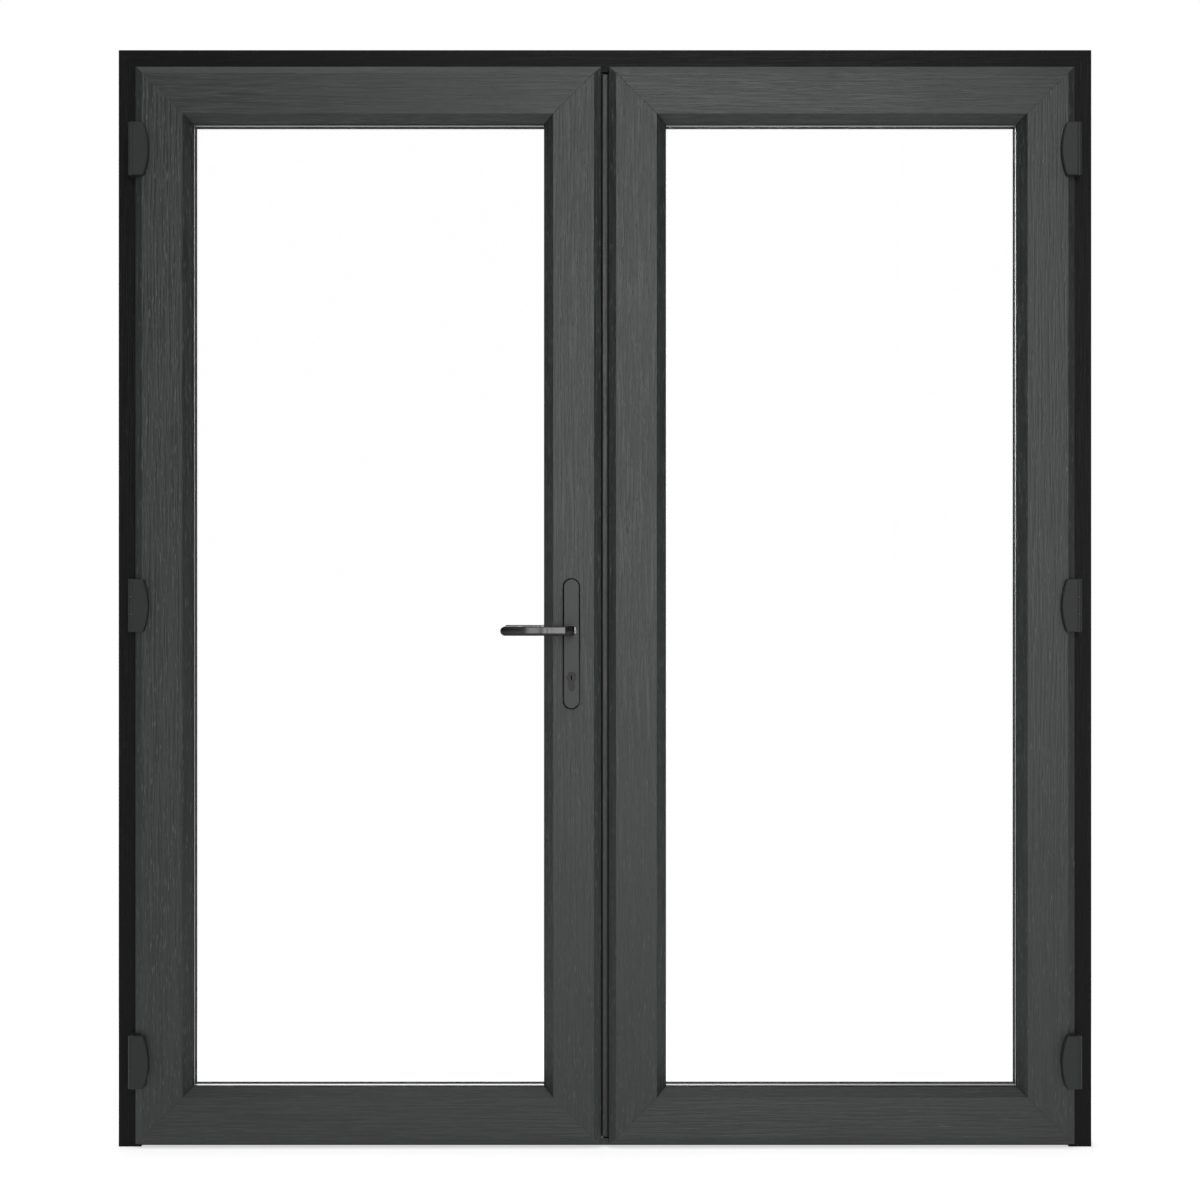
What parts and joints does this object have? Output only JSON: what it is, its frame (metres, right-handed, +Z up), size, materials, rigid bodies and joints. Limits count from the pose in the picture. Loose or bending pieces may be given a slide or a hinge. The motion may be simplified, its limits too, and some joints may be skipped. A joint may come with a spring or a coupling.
{
  "type": "french doors",
  "caption": "Outward opening french doors in an anthracite woodgrain frame, with full glass leaves, flag hinges and a lever handle on the left leaf.",
  "frame": {"origin": "middle of the threshold's base, half way through the frame's depth", "axes": "+X to the right seen from outside, +Y into the room, +Z up"},
  "size_m": [1.79, 0.191, 2.018],
  "materials": {
    "foil": "satin",
    "mill_aluminium": "satin",
    "rubber": "matte",
    "galvanised_steel": "matte",
    "hinge_grey": "satin",
    "bright_steel": "satin",
    "glass": "polished",
    "spacer_grey": "satin",
    "black_plastic": "matte",
    "handle_plate": "satin",
    "handle_lever": "polished",
    "nickel": "satin"
  },
  "bodies": {
    "frame": {"outer_frame": "foil", "threshold": "mill_aluminium", "frame_seal": "rubber", "threshold_seal": "rubber", "frame_steel_channels": "galvanised_steel", "left_hinge_brackets": "hinge_grey", "right_hinge_brackets": "hinge_grey", "left_hinge_pins": "bright_steel", "right_hinge_pins": "bright_steel", "shoot_bolt_strikes": "bright_steel"},
    "left_leaf": {"left_sash": "foil", "left_outer_pane": "glass", "left_inner_pane": "glass", "left_spacer_bar": "spacer_grey", "left_outer_gasket": "rubber", "left_inner_gasket": "rubber", "left_glazing_beads": "foil", "left_glazing_packers": "black_plastic", "left_weather_seal": "rubber", "left_steel_channels": "galvanised_steel", "left_hinge_flags": "hinge_grey", "left_hinge_caps": "hinge_grey", "lock_carrier": "black_plastic", "lock_faceplate": "bright_steel", "lock_case": "galvanised_steel", "hook_cases": "galvanised_steel", "outside_backplate": "handle_plate", "inside_backplate": "handle_plate", "handle_screws": "bright_steel", "cylinder_body": "nickel"},
    "right_leaf": {"right_sash": "foil", "right_outer_pane": "glass", "right_inner_pane": "glass", "right_spacer_bar": "spacer_grey", "right_outer_gasket": "rubber", "right_inner_gasket": "rubber", "right_glazing_beads": "foil", "right_glazing_packers": "black_plastic", "right_weather_seal": "rubber", "right_steel_channels": "galvanised_steel", "right_hinge_flags": "hinge_grey", "right_hinge_caps": "hinge_grey", "floating_mullion": "foil", "mullion_end_caps": "black_plastic", "mullion_seals": "rubber", "mullion_keeps": "bright_steel"},
    "levers": {"outside_lever": "handle_lever", "inside_lever": "handle_lever", "spindle": "bright_steel", "lock_hub": "bright_steel"},
    "latch": {"latch": "nickel"},
    "deadbolt": {"deadbolt": "nickel"},
    "upper_hook": {"upper_hook": "bright_steel"},
    "lower_hook": {"lower_hook": "bright_steel"},
    "cylinder_plug": {"cylinder_outside_plug": "nickel", "cylinder_inside_plug": "nickel", "cylinder_cam": "nickel"},
    "top_shoot_bolt": {"top_shoot_bolt": "bright_steel"},
    "bottom_shoot_bolt": {"bottom_shoot_bolt": "bright_steel"}
  },
  "joints": [
    {"name": "left_leaf_swing", "type": "hinge", "parent": "frame", "child": "left_leaf", "pos_m": [-0.8662, -0.0625, 0.996], "axis": [0, 0, -1], "range_deg": [0, 100]},
    {"name": "right_leaf_swing", "type": "hinge", "parent": "frame", "child": "right_leaf", "pos_m": [0.8662, -0.0625, 0.996], "axis": [0, 0, 1], "range_deg": [0, 100]},
    {"name": "lever_lift", "type": "hinge", "parent": "left_leaf", "child": "levers", "pos_m": [-0.0613, -0.006, 0.95], "axis": [0, 1, 0], "range_deg": [0, 40]},
    {"name": "latch_slide", "type": "slide", "parent": "left_leaf", "child": "latch", "axis": [1, 0, 0], "range_m": [0, 0.014]},
    {"name": "key_turn", "type": "hinge", "parent": "left_leaf", "child": "cylinder_plug", "pos_m": [-0.0613, -0.006, 0.865], "axis": [0, 1, 0], "range_deg": [0, 360]},
    {"name": "deadbolt_throw", "type": "slide", "parent": "left_leaf", "child": "deadbolt", "axis": [1, 0, 0], "range_m": [0, 0.02]},
    {"name": "upper_hook_throw", "type": "hinge", "parent": "left_leaf", "child": "upper_hook", "pos_m": [-0.036, -0.006, 1.56], "axis": [0, 1, 0], "range_deg": [0, 90]},
    {"name": "lower_hook_throw", "type": "hinge", "parent": "left_leaf", "child": "lower_hook", "pos_m": [-0.036, -0.006, 0.34], "axis": [0, 1, 0], "range_deg": [0, 90]},
    {"name": "top_bolt_slide", "type": "slide", "parent": "right_leaf", "child": "top_shoot_bolt", "axis": [0, 0, 1], "range_m": [0, 0.016]},
    {"name": "bottom_bolt_slide", "type": "slide", "parent": "right_leaf", "child": "bottom_shoot_bolt", "axis": [0, 0, -1], "range_m": [0, 0.016]}
  ],
  "couplings": [
    {"joint": "upper_hook_throw", "follows": "lever_lift", "ratio": 2.25},
    {"joint": "lower_hook_throw", "follows": "lever_lift", "ratio": 2.25},
    {"joint": "key_turn", "follows": "deadbolt_throw", "rad_per_m": 314.16}
  ]
}
